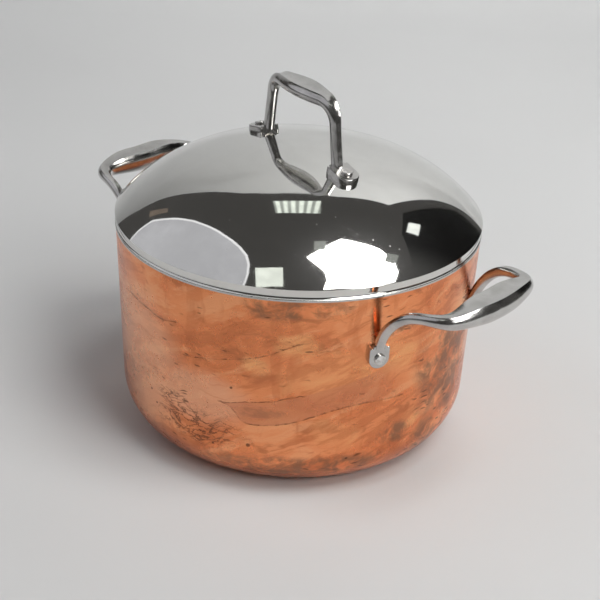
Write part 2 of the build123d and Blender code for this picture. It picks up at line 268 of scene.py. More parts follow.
CREASE_LINES = (
    (((-81.7, 98.5), (-74.5, 101.6), (-66.3, 105.7), (-57.3, 111.1), (-48.8, 119.8), (-44.6, 123.1)), 0.55),
    (((-110, 121), (-96.6, 119.6), (-91.8, 118.1), (-85.3, 120.8)), 0.6),
    (BAND_TOP[:4], 0.4),
    (((-92, 57), (-84, 61), (-76.6, 51.5), (-68, 47)), 0.6),
    (((100, 92), (124, 84), (146, 95)), 0.5),
)
LARGE_PIT = ((-60.5, 40.7), (0.75, 1.6))
PITS = ((-94.9, 48.3), (-97.4, 57.1), (-66, 84), (-72, 36), (-30, 31), (135, 62))
PIT_SIZE = (0.5, 0.9)

# Steels and paper
LID_TONES = ((0.3, (0.715, 0.71, 0.685)), (0.7, (0.775, 0.77, 0.745)))
LID_HAIR = (0.55, 0.54, 0.53)
LID_HAZE = 0.45
LID_HAZE_ROUGHNESS = 0.34
SPECK_ROUGHNESS = 0.24
HAIR_ROUGHNESS = 0.09
CAST_TONES = ((0.35, (0.47, 0.46, 0.445)), (0.65, (0.63, 0.62, 0.605)))
CAST_PORE = (0.25, 0.24, 0.23)
RIVET_TONES = ((0.4, (0.56, 0.54, 0.52)), (0.6, (0.78, 0.77, 0.755)))
LINING_TONES = ((0.35, (0.52, 0.505, 0.48)), (0.6, (0.62, 0.61, 0.59)))
LINING_BRUSHED = (0.5, 0.49, 0.47)
PAPER_TINT = (0.985, 0.995, 1)
# Painted light: how much paler the paper gets to the right and towards the back
PAPER_PAINTED_LIGHT_RIGHT = 0.13       # per metre
PAPER_PAINTED_LIGHT_AWAY = 0.11


class Recipe:
    """A material's nodes, added step by step; each step returns the socket that it makes."""

    def __init__(self, name):
        self.material = bpy.data.materials.new(name)
        self.material.use_nodes = True
        self.nodes = self.material.node_tree.nodes
        self.links = self.material.node_tree.links
        self.shader = self.nodes["Principled BSDF"]
        coordinates = self.nodes.new("ShaderNodeTexCoord")
        self.place = coordinates.outputs["Object"]
        self.share_of_box = coordinates.outputs["Generated"]

    def feed(self, socket, value):
        if isinstance(value, bpy.types.NodeSocket):
            self.links.new(value, socket)
        else:
            socket.default_value = value

    def math(self, operation, *values):
        node = self.nodes.new("ShaderNodeMath")
        node.operation = operation
        for socket, value in zip(node.inputs, values):
            self.feed(socket, value)
        return node.outputs[0]

    def off_middle(self, noise):
        """A noise about zero instead of about its middle."""
        return self.math("SUBTRACT", noise, NOISE_MIDDLE)

    def ridge(self, noise):
        """Distance of a noise from its middle, which is least along winding lines."""
        return self.math("ABSOLUTE", self.off_middle(noise))

    def from_axis(self):
        """(distance from the Z axis, height)."""
        x, y, z = self.apart(self.place)
        out = self.math("SQRT", self.math("ADD", self.math("POWER", x, 2), self.math("POWER", y, 2)))
        return out, z

    def shifted(self, place, offset):
        node = self.nodes.new("ShaderNodeVectorMath")
        node.operation = "ADD"
        self.feed(node.inputs[0], place)
        self.feed(node.inputs[1], offset)
        return node.outputs[0]

    def stretched(self, place, scales):
        node = self.nodes.new("ShaderNodeVectorMath")
        node.operation = "MULTIPLY"
        self.feed(node.inputs[0], place)
        node.inputs[1].default_value = scales
        return node.outputs[0]

    def along(self, place, ways):
        """The place measured along three scaled directions."""
        shares = []
        for way in ways:
            node = self.nodes.new("ShaderNodeVectorMath")
            node.operation = "DOT_PRODUCT"
            self.feed(node.inputs[0], place)
            node.inputs[1].default_value = way
            shares.append(node.outputs["Value"])
        return self.together(*shares)

    def noise(self, place, scale, detail=4.0, roughness=0.55, distortion=0.0):
        node = self.nodes.new("ShaderNodeTexNoise")
        self.feed(node.inputs["Vector"], place)
        node.inputs["Scale"].default_value = scale
        node.inputs["Detail"].default_value = detail
        node.inputs["Roughness"].default_value = roughness
        node.inputs["Distortion"].default_value = distortion
        return node.outputs["Fac"]

    def cells(self, place, scale):
        """(distance from the nearest cell's middle, that cell's random value)."""
        node = self.nodes.new("ShaderNodeTexVoronoi")
        self.feed(node.inputs["Vector"], place)
        node.inputs["Scale"].default_value = scale
        return node.outputs["Distance"], self.apart(node.outputs["Color"])[0]

    def apart(self, vector):
        node = self.nodes.new("ShaderNodeSeparateXYZ")
        self.feed(node.inputs[0], vector)
        return node.outputs[0], node.outputs[1], node.outputs[2]

    def together(self, x, y, z):
        node = self.nodes.new("ShaderNodeCombineXYZ")
        for socket, value in zip(node.inputs, (x, y, z)):
            self.feed(socket, value)
        return node.outputs[0]

    def step(self, value, low, high, start=0.0, end=1.0):
        """Smooth step: start below low, end above high."""
        node = self.nodes.new("ShaderNodeMapRange")
        node.interpolation_type = "SMOOTHSTEP"
        for socket, setting in zip(node.inputs, (value, low, high, start, end)):
            self.feed(socket, setting)
        return node.outputs[0]

    def blend(self, share, first, second):
        node = self.nodes.new("ShaderNodeMix")
        node.data_type = "RGBA"
        self.feed(node.inputs["Factor"], share)
        self.feed(node.inputs[6], (*first, 1) if isinstance(first, tuple) else first)
        self.feed(node.inputs[7], (*second, 1) if isinstance(second, tuple) else second)
        return node.outputs[2]

    def shades(self, value, stops):
        """Color along a ramp of (position, color)."""
        node = self.nodes.new("ShaderNodeValToRGB")
        self.feed(node.inputs[0], value)
        ramp = node.color_ramp
        while len(ramp.elements) < len(stops):
            ramp.elements.new(0.5)
        for element, (position, color) in zip(ramp.elements, stops):
            element.position = position
            element.color = (*color, 1)
        return node.outputs[0]

    def bump(self, height, distance, strength=1.0):
        """Adds relief on top of what is already there."""
        node = self.nodes.new("ShaderNodeBump")
        self.feed(node.inputs["Height"], height)
        node.inputs["Distance"].default_value = distance
        node.inputs["Strength"].default_value = strength
        before = self.shader.inputs["Normal"]
        if before.is_linked:
            self.links.new(before.links[0].from_socket, node.inputs["Normal"])
        self.links.new(node.outputs[0], before)

    def emit(self, color, strength):
        """Makes the material a plain light instead."""
        self.nodes.remove(self.shader)
        light = self.nodes.new("ShaderNodeEmission")
        light.inputs["Color"].default_value = (*color, 1)
        self.feed(light.inputs["Strength"], strength)
        self.links.new(light.outputs[0], self.nodes["Material Output"].inputs["Surface"])
        return self.material

    def finish(self, color, roughness, metallic=1.0):
        self.feed(self.shader.inputs["Base Color"], color)
        self.feed(self.shader.inputs["Roughness"], roughness)
        self.shader.inputs["Metallic"].default_value = metallic
        return self.material


class PotWall(Recipe):
    """Recipe with marks placed on the pot by (degrees about Z, height in millimetres)."""

    # Span of a course: its first and last angle, and the height that it may reach
    LEFT, RIGHT, TOP = -180, 180, 160

    def __init__(self, name):
        super().__init__(name)
        x, y, z = self.apart(self.place)
        self.degrees = self.math("MULTIPLY", self.math("ARCTAN2", y, x), math.degrees(1))
        self.height = self.math("DIVIDE", z, MM)

    def patch(self, spot, half_size, edge, ragged):
        """Soft-edged oval with a ragged outline: 1 inside, 0 outside."""
        across = self.math("DIVIDE", self.math("SUBTRACT", self.degrees, spot[0]), half_size[0])
        up = self.math("DIVIDE", self.math("SUBTRACT", self.height, spot[1]), half_size[1])
        off = self.math("SQRT", self.math("ADD", self.math("POWER", across, 2), self.math("POWER", up, 2)))
        off = self.math("ADD", off, self.math("MULTIPLY", edge, ragged))
        return self.step(off, PATCH_CORE, PATCH_RIM, 1.0, 0.0)

    def patches(self, places, edge, ragged):
        """The strongest of several patches, each given as (spot, half size)."""
        strongest = self.patch(*places[0], edge, ragged)
        for spot, half_size in places[1:]:
            strongest = self.math("MAXIMUM", strongest, self.patch(spot, half_size, edge, ragged))
        return strongest

    def course(self, points):
        """Height of a line through (degrees, height) points, at every angle."""
        node = self.nodes.new("ShaderNodeFloatCurve")
        span = self.RIGHT - self.LEFT
        share = self.math("DIVIDE", self.math("SUBTRACT", self.degrees, self.LEFT), span)
        self.feed(node.inputs["Value"], share)
        curve = node.mapping.curves[0]
        places = [((a - self.LEFT) / span, h / self.TOP) for a, h in points]
        ends = [(0, places[0][1]), (1, places[-1][1])]
        for point, place in zip(curve.points, ends):
            point.location = place
        for place in places:
            curve.points.new(*place)
        node.mapping.update()
        return self.math("MULTIPLY", node.outputs[0], self.TOP)

    def between(self, low, high, fade):
        """1 between two angles, fading out over a few degrees beyond each."""
        rise = self.step(self.degrees, low - fade, low)
        return self.math("MULTIPLY", rise, self.step(self.degrees, high, high + fade, 1.0, 0.0))

    def stroke(self, points, width, wobble):
        """Thin line through points; wobble is a noise that roughens and breaks it."""
        course = self.math("ADD", self.course(points), self.math("MULTIPLY", wobble, 2.0))
        off = self.math("ABSOLUTE", self.math("SUBTRACT", self.height, course))
        line = self.step(off, 0.3 * width, width, 1.0, 0.0)
        worn = self.step(wobble, -0.12, 0.10, 0.25, 1.0)
        line = self.math("MULTIPLY", line, worn)
        return self.math("MULTIPLY", line, self.between(points[0][0], points[-1][0], STROKE_FADE))


def aged_copper():
    """Old copper: blotches, cloudy smears, brushing, nicks, crinkled dents and a few placed marks."""
    r = PotWall("aged_copper")
    drift = r.noise(r.place, scale=22, detail=3)
    side_drift = r.noise(r.stretched(r.place, (1, -1, 1)), scale=19, detail=3)
    bent = r.shifted(r.place, r.stretched(r.together(drift, side_drift, drift), (WARP, WARP, WARP)))

    edge = r.off_middle(r.noise(bent, scale=45, detail=5, roughness=0.6))
    fine = r.noise(bent, scale=130, detail=6, roughness=0.65)
    brushing = r.noise(r.stretched(bent, (22, 22, 420)), scale=1, detail=5, roughness=0.6)
    clouds = r.noise(r.stretched(bent, (1, 1, 1.7)), scale=17, detail=5, roughness=0.6, distortion=0.3)
    smears = r.noise(r.stretched(bent, (1, 1, 2.4)), scale=34, detail=6, roughness=0.62, distortion=0.5)

    color = r.shades(clouds, COPPER_CLOUDS)
    color = r.blend(r.step(smears, 0.54, 0.66, 0.0, 0.6), color, COPPER_DARK)
    rising = SIDEWAYS * math.cos(WIPE_SLOPE) + UP * math.sin(WIPE_SLOPE)
    across = UP * math.cos(WIPE_SLOPE) - SIDEWAYS * math.sin(WIPE_SLOPE)
    streaks = r.along(bent, (rising * 13, across * 62, AWAY * 18))
    wipes = r.noise(streaks, scale=1, detail=5, roughness=0.62, distortion=0.2)
    color = r.blend(r.step(wipes, 0.51, 0.57, 0.0, 0.6), color, COPPER_BROWN)
    color = r.blend(r.step(wipes, 0.38, 0.46, 0.65, 0.0), color, COPPER_BRIGHT)
    runs = r.noise(r.stretched(bent, (48, 48, 7)), scale=1, detail=4, roughness=0.6, distortion=0.4)
    color = r.blend(r.step(runs, 0.56, 0.64, 0.0, 0.4), color, COPPER_BROWN)

    # Painted highlight on the front right of the wall, broken up by the wipe streaks
    painted_highlight = r.patches(PAINTED_HIGHLIGHT_PATCHES, edge, 1.6)
    painted_highlight = r.math("MULTIPLY", painted_highlight, r.step(wipes, 0.40, 0.56, 0.75, 0.2))
    color = r.blend(painted_highlight, color, COPPER_PAINTED_HIGHLIGHT)

    # Painted reflection: tall lighter stripes on the left of the wall, where the copper mirrors the light
    # from that side
    painted_reflection = r.patch((-104, 80), (22, 60), edge, 0.3)
    painted_reflection = r.math("MAXIMUM", painted_reflection, r.patch((-78, 70), (20, 22), edge, 0.5))
    color = r.blend(r.math("MULTIPLY", painted_reflection, 0.55), color, COPPER_PALE_REFLECTION)

    tarnish = r.patches(TARNISH_PATCHES, edge, 1.2)
    cloudy = r.step(r.noise(bent, scale=60, detail=5, roughness=0.68, distortion=0.3), 0.38, 0.60)
    color = r.blend(r.math("MULTIPLY", r.math("MULTIPLY", tarnish, cloudy), 0.85), color, COPPER_TARNISH)

    band_top = r.course(BAND_TOP)
    band_foot = r.course(BAND_FOOT)
    in_band = r.math("MULTIPLY", r.step(r.math("SUBTRACT", r.height, band_foot), -0.6, 0.6),
                     r.step(r.math("SUBTRACT", band_top, r.height), -0.6, 0.6))
    in_band = r.math("MULTIPLY", in_band, r.between(BAND_FOOT[0][0], BAND_END, BAND_FADE))
    color = r.blend(r.math("MULTIPLY", in_band, 0.62), color, COPPER_BAND)

    wobble = r.off_middle(r.noise(r.place, scale=160, detail=3, roughness=0.6))
    lines = r.stroke(BAND_FOOT, 0.75, wobble)
    for course, width in CREASE_LINES:
        lines = r.math("MAXIMUM", lines, r.stroke(course, width, wobble))
    color = r.blend(r.math("MULTIPLY", lines, 0.6), color, COPPER_LINE)

    dashes, chance = r.cells(r.stretched(bent, (1, 1, 4.2)), 95)
    worn = r.step(r.noise(r.place, scale=26, detail=3), 0.52, 0.60)
    worn = r.math("MAXIMUM", worn, r.patch((-72, 106), (17, 20), edge, 0.9))
    nicks = r.math("MULTIPLY", r.step(dashes, 0.14, 0.32, 1.0, 0.0), r.step(chance, 0.60, 0.64))
    nicks = r.math("MULTIPLY", nicks, worn)
    ridges = r.noise(r.stretched(bent, (1, 1, 2.6)), scale=85, detail=5, roughness=0.62, distortion=0.6)
    ridges = r.ridge(ridges)
    crinkled = r.patches(CRINKLE_PATCHES, edge, 0.9)
    crinkles = r.math("MULTIPLY", r.step(ridges, 0.006, 0.036, 1.0, 0.0), crinkled)
    pits = r.patch(*LARGE_PIT, wobble, 0.3)
    for spot in PITS:
        pits = r.math("MAXIMUM", pits, r.patch(spot, PIT_SIZE, wobble, 0.4))
    marks = r.math("MAXIMUM", r.math("MAXIMUM", nicks, r.math("MULTIPLY", crinkles, 0.85)), pits)
    color = r.blend(r.math("MULTIPLY", marks, 0.78), color, COPPER_PIT)
    color = r.blend(r.step(brushing, 0.56, 0.72, 0.0, 0.30), color, COPPER_BROWN)

    roughness = r.math("ADD", r.step(clouds, 0.3, 0.7, 0.27, 0.17), r.math("MULTIPLY", tarnish, 0.12))
    roughness = r.math("ADD", roughness, r.step(fine, 0.4, 0.7, 0.0, 0.07))
    r.bump(brushing, BRUSHING_DEPTH)
    r.bump(clouds, CLOUD_DEPTH, strength=0.5)
    r.bump(fine, GRAIN_DEPTH, strength=0.6)
    hollows = r.math("MAXIMUM", crinkles, r.math("MAXIMUM", pits, lines))
    r.bump(r.math("MULTIPLY", hollows, -1), HOLLOW_DEPTH, strength=0.5)
    return r.finish(color, roughness)


def mirror_steel():
    """Polished lid under a thin haze: faint turning rings, wipe marks, specks and hairline scratches."""
    r = Recipe("mirror_steel")
    out = r.from_axis()[0]
    rings = r.noise(r.together(r.math("MULTIPLY", out, 900), 0.0, 0.0), scale=1, detail=3)
    wiped = r.noise(r.stretched(r.place, (1, 1, 1.5)), scale=26, detail=4, roughness=0.6, distortion=1.5)
    dust = r.noise(r.place, scale=900, detail=2)
    scratch = r.noise(r.stretched(r.place, (260, 18, 40)), scale=1, detail=3, roughness=0.5, distortion=0.4)
    scratch = r.ridge(scratch)
    hairs = r.math("MULTIPLY", r.step(scratch, 0.0, 0.006, 1.0, 0.0), r.step(wiped, 0.5, 0.62))
    color = r.blend(r.math("MULTIPLY", hairs, 0.15), r.shades(wiped, LID_TONES), LID_HAIR)
    off, chance = r.cells(r.place, 240)
    specks = r.math("MULTIPLY", r.step(off, 0.07, 0.15, 1.0, 0.0), r.step(chance, 0.88, 0.90))
    roughness = r.math("ADD", r.step(wiped, 0.35, 0.75, 0.025, 0.06), r.step(dust, 0.62, 0.74, 0.0, 0.05))
    roughness = r.math("ADD", roughness, r.math("MULTIPLY", specks, SPECK_ROUGHNESS))
    roughness = r.math("ADD", roughness, r.math("MULTIPLY", hairs, HAIR_ROUGHNESS))
    r.bump(rings, distance=0.000004, strength=0.6)
    r.bump(r.noise(r.place, scale=24, detail=2), distance=0.0003, strength=0.25)
    r.shader.inputs["Coat Weight"].default_value = LID_HAZE
    r.shader.inputs["Coat Roughness"].default_value = LID_HAZE_ROUGHNESS
    return r.finish(color, roughness)


def cast_steel():
    """Polished castings: bright, a little wavy, with fine pores and duller hazy patches."""
    r = Recipe("cast_steel")
    waves = r.noise(r.place, scale=70, detail=2)
    pores, chance = r.cells(r.place, 900)
    pitted = r.math("MULTIPLY", r.step(pores, 0.12, 0.3, 1.0, 0.0), r.step(chance, 0.86, 0.9))
    haze = r.noise(r.place, scale=55, detail=4, roughness=0.6, distortion=0.6)
    color = r.blend(r.math("MULTIPLY", pitted, 0.5), r.shades(haze, CAST_TONES), CAST_PORE)
    r.bump(waves, distance=0.0010, strength=0.35)
    r.bump(r.noise(r.place, scale=420, detail=3), distance=0.00005, strength=0.6)
    return r.finish(color, r.step(haze, 0.35, 0.7, 0.15, 0.27))


def rivet_steel():
    """Duller steel with hammer facets and grime."""
    r = Recipe("rivet_steel")
    dents = r.cells(r.place, 420)[0]
    grime = r.noise(r.place, scale=300, detail=4, roughness=0.6)
    r.bump(dents, distance=0.00025, strength=0.6)
    return r.finish(r.shades(grime, RIVET_TONES), r.step(grime, 0.35, 0.7, 0.30, 0.17))


def lining_steel():
    """Satin steel, brushed round, with faint heat stains."""
    r = Recipe("lining_steel")
    out, height = r.from_axis()
    turns = r.together(r.math("MULTIPLY", out, 1500), r.math("MULTIPLY", height, 1500), 0.0)
    brushing = r.noise(turns, scale=1, detail=4)
    stains = r.noise(r.place, scale=21, detail=4, roughness=0.6, distortion=1.0)
    color = r.blend(r.step(brushing, 0.45, 0.7, 0.0, 0.25), r.shades(stains, LINING_TONES), LINING_BRUSHED)
    r.bump(brushing, distance=0.00002, strength=0.8)
    return r.finish(color, r.step(stains, 0.3, 0.7, 0.30, 0.20))


def grey_paper():
    """Matt paper, with painted light that makes it a little paler to the right and towards the back."""
    r = Recipe("grey_paper")
    x, y = r.apart(r.place)[:2]
    side = r.math("ADD", r.math("MULTIPLY", x, SIDEWAYS.x), r.math("MULTIPLY", y, SIDEWAYS.y))
    away = r.math("ADD", r.math("MULTIPLY", x, AWAY.x), r.math("MULTIPLY", y, AWAY.y))
    # Painted light, paler to the right and towards the back
    tone = r.math("MULTIPLY", side, PAPER_PAINTED_LIGHT_RIGHT)
    tone = r.math("ADD", tone, r.math("MULTIPLY", away, PAPER_PAINTED_LIGHT_AWAY))
    tone = r.math("ADD", tone, r.step(r.noise(r.place, scale=3, detail=2), 0.3, 0.7, 0.630, 0.644))
    grain = r.noise(r.place, scale=1400, detail=3)
    r.bump(grain, distance=0.00005, strength=0.4)
    color = r.blend(tone, (0, 0, 0), PAPER_TINT)
    return r.finish(color, r.step(grain, 0.3, 0.7, 0.85, 0.95), metallic=0.0)


copper_material = aged_copper()
lid_material = mirror_steel()
handle_material = cast_steel()
lining_material = lining_steel()
rivet_material = rivet_steel()


# Pot body

def wall_radius(height, inset=0.0):
    return POT_RADIUS - (COPPER_TOP - height) * math.tan(WALL_LEAN) - inset / math.cos(WALL_LEAN)


def vessel_outline(inset, top):
    """From the middle of the floor, round the base corner and up the wall."""
    corner_x = wall_radius(BASE_CORNER_RADIUS) - BASE_CORNER_RADIUS / math.cos(WALL_LEAN)
    corner = arc((corner_x, BASE_CORNER_RADIUS), BASE_CORNER_RADIUS - inset,
                 math.pi, math.pi / 2 + WALL_LEAN, CORNER_POINTS)
    floor = [(corner_x * share, inset) for share in FLOOR_SHARES]
    foot = corner[-1][1]
    wall = [(wall_radius(z, inset), z) for z in np.linspace(foot, top, WALL_POINTS)[1:]]
    return floor + corner + wall


def copper_shell():
    outside = vessel_outline(0, COPPER_TOP)
    inside = vessel_outline(COPPER_THICKNESS, COPPER_TOP)
    return spun("copper_shell_spun", outside + inside[::-1], copper_material)


def steel_lining():
    """Lining whose edge turns out over the copper."""
    outside = vessel_outline(COPPER_THICKNESS, COPPER_TOP)
    inside = vessel_outline(WALL_THICKNESS, COPPER_TOP)
    edge = POT_RADIUS + RIM_OVERHANG
    bore = wall_radius(COPPER_TOP, WALL_THICKNESS)
    rim = [(edge, COPPER_TOP)]
    rim += arc((edge - RIM_ROUND, POT_HEIGHT - RIM_ROUND), RIM_ROUND, math.pi / 2, 0, RIM_POINTS)
    rim += arc((bore + RIM_ROUND, POT_HEIGHT - RIM_ROUND), RIM_ROUND, 0, -math.pi / 2, RIM_POINTS)
    return spun("steel_lining_spun", outside + rim + inside[::-1], lining_material)


# Lid

class Dome:
    """Two tangent arcs from the top of the lid to its crease, or to another edge on a face further in."""

    def __init__(self, inset=0.0, edge_radius=CREASE_RADIUS):
        top = POT_HEIGHT + LID_RISE
        self.crown = CROWN_RADIUS - inset
        self.shoulder = SHOULDER_RADIUS - inset
        self.crown_z = top - CROWN_RADIUS
        crease_z = POT_HEIGHT + LID_BAND_HEIGHT - self.crown_z
        reach = math.hypot(CREASE_RADIUS, crease_z)
        apart = CROWN_RADIUS - SHOULDER_RADIUS
        bend = (reach ** 2 + apart ** 2 - SHOULDER_RADIUS ** 2) / (2 * reach * apart)
        self.join = math.atan2(CREASE_RADIUS, crease_z) - math.acos(bend)
        self.shoulder_x = apart * math.sin(self.join)
        self.shoulder_z = self.crown_z + apart * math.cos(self.join)
        self.end = math.asin((edge_radius - self.shoulder_x) / self.shoulder)

    def outline(self):
        crown = arc((0, self.crown_z), self.crown, APEX_ANGLE, self.join, CROWN_POINTS)
        middle = (self.shoulder_x, self.shoulder_z)
        shoulder = arc(middle, self.shoulder, self.join, self.end, SHOULDER_POINTS)
        return crown + shoulder[1:]

    def at(self, radius):
        """(height, slope) at a radius within the crown."""
        slope = math.asin(radius / self.crown)
        return self.crown_z + self.crown * math.cos(slope), slope


def lid_shell():
    """Sheet from the dome down over band, cove, lip and skirt, and back up inside."""
    cove_foot = POT_HEIGHT + LID_LIP_THICKNESS
    skirt = wall_radius(POT_HEIGHT, WALL_THICKNESS) - PLUG_CLEARANCE
    band_inside = CREASE_RADIUS - LID_COVE_DEPTH - LID_SHEET
    outline = Dome().outline()
    outline += [
        (CREASE_RADIUS - LID_CREASE_BREAK[0], POT_HEIGHT + LID_BAND_HEIGHT - LID_CREASE_BREAK[1]),
        (CREASE_RADIUS - LID_BAND_DRAW, cove_foot + LID_COVE_HEIGHT),
    ]
    outline += [(CREASE_RADIUS - depth, cove_foot + share * LID_COVE_HEIGHT)
                for depth, share in LID_COVE_CURVE]
    outline += [
        (CREASE_RADIUS - LID_LIP_INSET - LID_LIP_BREAK, cove_foot),
        (CREASE_RADIUS - LID_LIP_INSET, cove_foot - LID_LIP_BREAK),
        (CREASE_RADIUS - LID_LIP_INSET, POT_HEIGHT),
        (skirt, POT_HEIGHT),
        (skirt, POT_HEIGHT - PLUG_DEPTH),
        (skirt - LID_SHEET, POT_HEIGHT - PLUG_DEPTH),
        (skirt - LID_SHEET, POT_HEIGHT + LID_SHEET),
        (band_inside, POT_HEIGHT + LID_SHEET),
    ]
    outline += Dome(LID_SHEET, band_inside).outline()[::-1]
    return spun("lid_shell_spun", outline, lid_material, LID_SEGMENTS)


# Handles

def smooth_path(knots, start, end, count):
    """Cubic spline through the knots with given end directions: points and unit tangents."""
    knots = np.array(knots, float)
    gaps = np.linalg.norm(np.diff(knots, axis=0), axis=1)
    at = np.concatenate([[0], np.cumsum(gaps)])
    size = len(knots)
    matrix = np.zeros((size, size))
    right = np.zeros((size, 3))
    matrix[0, 0] = matrix[-1, -1] = 1
    right[0], right[-1] = start, end
    for i in range(1, size - 1):
        before, after = gaps[i - 1], gaps[i]
        matrix[i, i - 1:i + 2] = (after, 2 * (before + after), before)
        arriving = after / before * (knots[i] - knots[i - 1])
        leaving = before / after * (knots[i + 1] - knots[i])
        right[i] = 3 * (arriving + leaving)
    slopes = np.linalg.solve(matrix, right)
    points = []
    for t in np.linspace(0, at[-1], SPLINE_STEPS):
        i = min(np.searchsorted(at, t, side="right") - 1, size - 2)
        u = (t - at[i]) / gaps[i]
        point = (2 * u ** 3 - 3 * u ** 2 + 1) * knots[i]
        point += (u ** 3 - 2 * u ** 2 + u) * gaps[i] * slopes[i]
        point += (3 * u ** 2 - 2 * u ** 3) * knots[i + 1]
        point += (u ** 3 - u ** 2) * gaps[i] * slopes[i + 1]
        points.append(point)
    return even(np.array(points), count)


def even(points, count):
    """The same line with points evenly spaced along it, and its unit tangents."""
    along = np.concatenate([[0], np.cumsum(np.linalg.norm(np.diff(points, axis=0), axis=1))])
    shares = np.linspace(0, along[-1], count)
    line = np.stack([np.interp(shares, along, points[:, k]) for k in range(3)], 1)
    tangents = np.gradient(line, axis=0)
    return line, tangents / np.linalg.norm(tangents, axis=1)[:, None]


def section(width, depth, flat_share, dish, count=SECTION_POINTS):
    """Points round an ellipse cut off by a dished flat; the flat looks along +y."""
    top = depth / 2
    cut = math.sqrt(1 - flat_share ** 2)
    centre = top * (1 - cut) / (1 + cut)
    crease = math.acos(flat_share)
    flat_count = count // 4
    points = []
    for share in np.linspace(1, -1, flat_count, endpoint=False):
        x = width / 2 * flat_share * share
        points.append((x, top - dish * (1 - share ** 2)))
    for a in np.linspace(math.pi - crease, 2 * math.pi + crease, count - flat_count, endpoint=False):
        points.append((width / 2 * math.cos(a), centre + (centre + top) * math.sin(a)))
    return np.array(points)


def swell(share):
    """Smooth rise from 0 to 1, level beyond both."""
    share = max(0.0, min(1.0, share))
    return share * share * (3 - 2 * share)


def bar_points(line, tangents, facing, bar):
    """Rings of points along a line, growing from leg to grip; facing tells where the section's flat looks."""
    leg, grip, (swell_start, swell_end) = bar
    points = []
    count = len(line)
    for i in range(count):
        t = i / (count - 1)
        share = swell((min(t, 1 - t) - swell_start) / (swell_end - swell_start))
        sizes = [a + (b - a) * share for a, b in zip(leg, grip)]
        way = facing(tangents[i])
        side = np.cross(way, tangents[i])
        for x, y in section(*sizes):
            points.append(line[i] + side * x + way * y)
    return points


def capped_faces(rows, columns):
    """Quads along a bar, and one face over each end."""
    faces = grid_faces(rows, columns, False)
    faces.append(tuple(range(columns))[::-1])
    faces.append(tuple((rows - 1) * columns + i for i in range(columns)))
    return faces


def pad_ring(size, inset):
    """Outline of a foot, drawn in by inset, round a rivet at the origin; the neck is towards +y.

    Each shoulder has its round bite beside the neck.
    """
    lobe, shoulder = size[1:]
    radius = lobe - inset
    corner = PAD_SHOULDER_ROUND - inset / 2
    top = shoulder - inset
    bite = NOTCH_RADIUS + inset
    bite_x = lobe - NOTCH_INSET
    right = [(radius * math.sin(a), -radius * math.cos(a)) for a in np.linspace(0, math.pi / 2, LOBE_POINTS)]
    right += [(radius, y) for y in np.linspace(0, top - corner, PAD_SIDE_POINTS)[1:]]
    start = math.asin((bite - NOTCH_LEAD) / bite)
    for a in np.linspace(start, math.pi, NOTCH_POINTS):
        right.append((bite_x + bite * math.cos(a), top + inset - bite * math.sin(a)))
    left = [(-x, y) for x, y in reversed(right[1:])]
    return right + left


def pad_points(place, size):
    """Rings of a foot from its buried underside to its rounded top edge, and how many there are."""
    levels = [(-PAD_BURIED, 0.0)]
    levels += [(size[0] - down * PAD_EDGE, drawn_in * PAD_EDGE) for down, drawn_in in PAD_ROUNDING]
    points = []
    for height, inset in levels:
        points += [place @ Vector((x, y, height)) for x, y in pad_ring(size, inset)]
    return points, len(levels)


def rivet_outline(grip_length):
    """Head, shank and inner head in (radius, height); the head sits at height 0."""
    shank_foot = -grip_length - INNER_HEAD_GAP
    outline = [(AXIS_GAP, HEAD_HEIGHT)]
    middle = (HEAD_RADIUS - HEAD_BEVEL, HEAD_HEIGHT - HEAD_BEVEL)
    outline += arc(middle, HEAD_BEVEL, 0, math.pi / 2, HEAD_POINTS)
    outline += [(HEAD_RADIUS, 0), (SHANK_RADIUS, 0), (SHANK_RADIUS, shank_foot),
                (INNER_HEAD_RADIUS, shank_foot), (INNER_HEAD_RADIUS, shank_foot - INNER_HEAD_HEIGHT),
                (AXIS_GAP, shank_foot - INNER_HEAD_HEIGHT)]
    return outline


def placed(origin, x_dir, z_dir):
    """Matrix of a local frame with unit axes."""
    z = Vector(z_dir).normalized()
    x = Vector(x_dir).normalized()
    y = z.cross(x)
    return Matrix(((x.x, y.x, z.x, origin[0]), (x.y, y.y, z.y, origin[1]), (x.z, y.z, z.z, origin[2]),
                   (0, 0, 0, 1)))


def handle_piece(name, path, facing, bar, feet, foot_size, turn):
    """Bar along a path of points and tangents, with a foot in each of two frames."""
    line, tangents = path
    points = [Vector(p) for p in bar_points(line, tangents, facing, bar)]
    rows, columns = len(line), len(points) // len(line)
    faces = capped_faces(rows, columns)
    for place in feet:
        start = len(points)
        ring_points, levels = pad_points(place, foot_size)
        points += ring_points
        faces += [tuple(start + k for k in face) for face in capped_faces(levels, len(ring_points) // levels)]
    spin = Matrix.Rotation(turn, 4, "Z")
    made = mesh_object(name, [spin @ p for p in points], faces, handle_material)
    sharpen(made, CAST_CREASE_ANGLE)
    return made


def rivet_piece(name, place, foot_size, sheet, turn):
    outline = rivet_outline(foot_size[0] + sheet)
    points = spun_points(outline, RIVET_SEGMENTS)
    spin = Matrix.Rotation(turn, 4, "Z")
    lift = place @ Matrix.Translation((0, 0, foot_size[0]))
    made = mesh_object(name, [spin @ lift @ Vector(p) for p in points],
                       grid_faces(len(outline), RIVET_SEGMENTS, False), rivet_material)
    sharpen(made, CAST_CREASE_ANGLE)
    return made


def side_feet():
    """Frames of a side handle's feet, with z out of the wall and y up along it."""
    radius = wall_radius(SIDE_RIVET_HEIGHT)
    angle = math.asin(SIDE_HALF_SPREAD / radius)
    feet = []
    for turn in (angle, -angle):
        cos, sin = math.cos(turn), math.sin(turn)
        out = (cos * math.cos(WALL_LEAN), sin * math.cos(WALL_LEAN), -math.sin(WALL_LEAN))
        feet.append(placed((radius * cos, radius * sin, SIDE_RIVET_HEIGHT), (-sin, cos, 0), out))
    return feet


